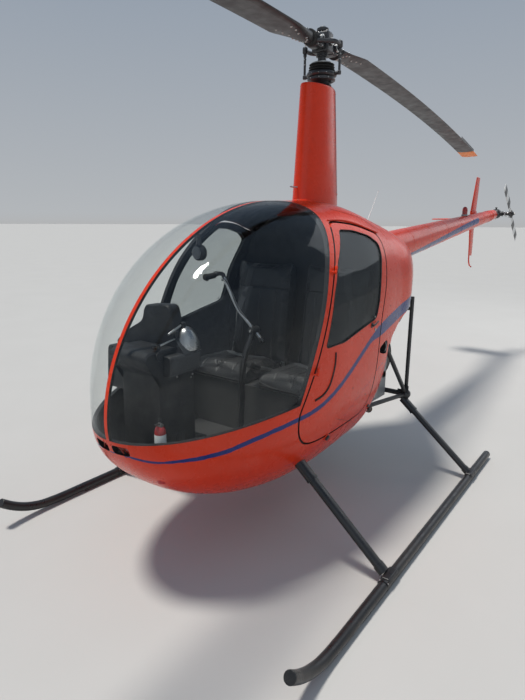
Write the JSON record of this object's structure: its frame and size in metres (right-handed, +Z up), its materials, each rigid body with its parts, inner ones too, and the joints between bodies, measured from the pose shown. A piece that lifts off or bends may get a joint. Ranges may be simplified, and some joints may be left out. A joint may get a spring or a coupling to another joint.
{
  "type": "light two-seat helicopter on skids",
  "caption": "Light piston helicopter with a bubble cabin, hinged doors, open engine bay, slim tail boom and a teetering main rotor, parked on tubular skids.",
  "frame": {"origin": "on the ground under the middle of the parked overall length, on the centre plane", "axes": "+X to port (the helicopter's left), +Y aft along the cabin and boom, +Z up"},
  "size_m": [1.93, 8.6678, 2.726],
  "materials": {
    "red_paint": "glossy orange-red two-pack paint on composite and sheet metal",
    "clear_glazing": "clear acrylic",
    "tinted_glazing": "grey tinted acrylic",
    "black_paint": "semi-gloss black enamel on steel and alloy tube",
    "blade_paint": "matt dark grey blade paint, orange tips",
    "tail_blade_paint": "white and black banded blade paint",
    "head_metal": "dark finished steel, greased",
    "bare_alloy": "bare and clear-coated aluminium castings and sheet",
    "exhaust_steel": "heat-stained steel",
    "seat_leather": "black vinyl leather, foam filled",
    "cabin_trim": "dark grey carpet and trim",
    "panel_plastic": "black crackle-finish panel",
    "bottle_paint": "red enamel bottle",
    "lamp_red": "dark red lamp glass",
    "lamp_clear": "clear lamp glass over a reflector",
    "antenna_white": "white sleeved whip",
    "duct_rubber": "black rubber intake edge"
  },
  "bodies": {
    "airframe": {"cabin_tub": "red_paint", "cabin_roof_frame": "red_paint", "windshield_left": "clear_glazing", "windshield_right": "clear_glazing", "windshield_strip": "red_paint", "aft_cowl": "red_paint", "intake_duct_left": "duct_rubber", "intake_duct_right": "duct_rubber", "landing_lamp_left": "lamp_clear", "landing_lamp_right": "lamp_clear", "cowl_antenna": "antenna_white", "bulkhead": "black_paint", "deck_plate": "bare_alloy", "mast_fairing": "red_paint", "pitot_tube": "bare_alloy", "tail_boom": "red_paint", "fin_mount": "bare_alloy", "upper_fin": "red_paint", "lower_fin": "red_paint", "stabilizer": "red_paint", "tail_skid": "black_paint", "tail_gearbox": "bare_alloy", "beacon": "lamp_red", "skid_left": "black_paint", "skid_right": "black_paint", "front_leg_left": "black_paint", "front_leg_right": "black_paint", "rear_leg_left": "black_paint", "rear_leg_right": "black_paint", "bay_frame": "black_paint", "engine": "bare_alloy", "fan_shroud": "black_paint", "muffler": "exhaust_steel", "cabin_floor": "cabin_trim", "seat_base": "cabin_trim", "seat_cushion_left": "seat_leather", "seat_back_left": "seat_leather", "pedals_left": "bare_alloy", "seat_cushion_right": "seat_leather", "seat_back_right": "seat_leather", "pedals_right": "bare_alloy", "console": "panel_plastic", "cyclic_stick": "bare_alloy", "collective_lever": "bare_alloy", "fire_bottle": "bottle_paint", "compass": "panel_plastic", "main_gearbox": "bare_alloy", "lower_swashplate": "bare_alloy"},
    "main_rotor": {"rotor_head": "head_metal", "swashplate": "bare_alloy", "main_blade_aft": "blade_paint", "main_blade_front": "blade_paint"},
    "tail_rotor": {"tail_hub": "head_metal", "tail_blade_front": "tail_blade_paint", "tail_blade_aft": "tail_blade_paint"},
    "door_left": {"door_left": "red_paint", "door_window_left": "tinted_glazing"},
    "door_right": {"door_right": "red_paint", "door_window_right": "tinted_glazing"}
  },
  "joints": [
    {"name": "main_rotor_spin", "type": "hinge", "parent": "airframe", "child": "main_rotor", "pos_m": [0, -0.48418, 2.63], "axis": [0, 0, 1], "continuous": true},
    {"name": "tail_rotor_spin", "type": "hinge", "parent": "airframe", "child": "tail_rotor", "pos_m": [0.175, 3.88582, 1.762], "axis": [1, 0, 0], "continuous": true},
    {"name": "door_left_hinge", "type": "hinge", "parent": "airframe", "child": "door_left", "pos_m": [0.55338, -1.35918, 0.969], "axis": [0.0758, -0.3991, -0.9138], "range_deg": [0, 70]},
    {"name": "door_right_hinge", "type": "hinge", "parent": "airframe", "child": "door_right", "pos_m": [-0.55338, -1.35918, 0.969], "axis": [0.0758, 0.3991, 0.9138], "range_deg": [0, 70]}
  ],
  "couplings": [
    {"joint": "tail_rotor_spin", "follows": "main_rotor_spin", "ratio": -6.66}
  ]
}
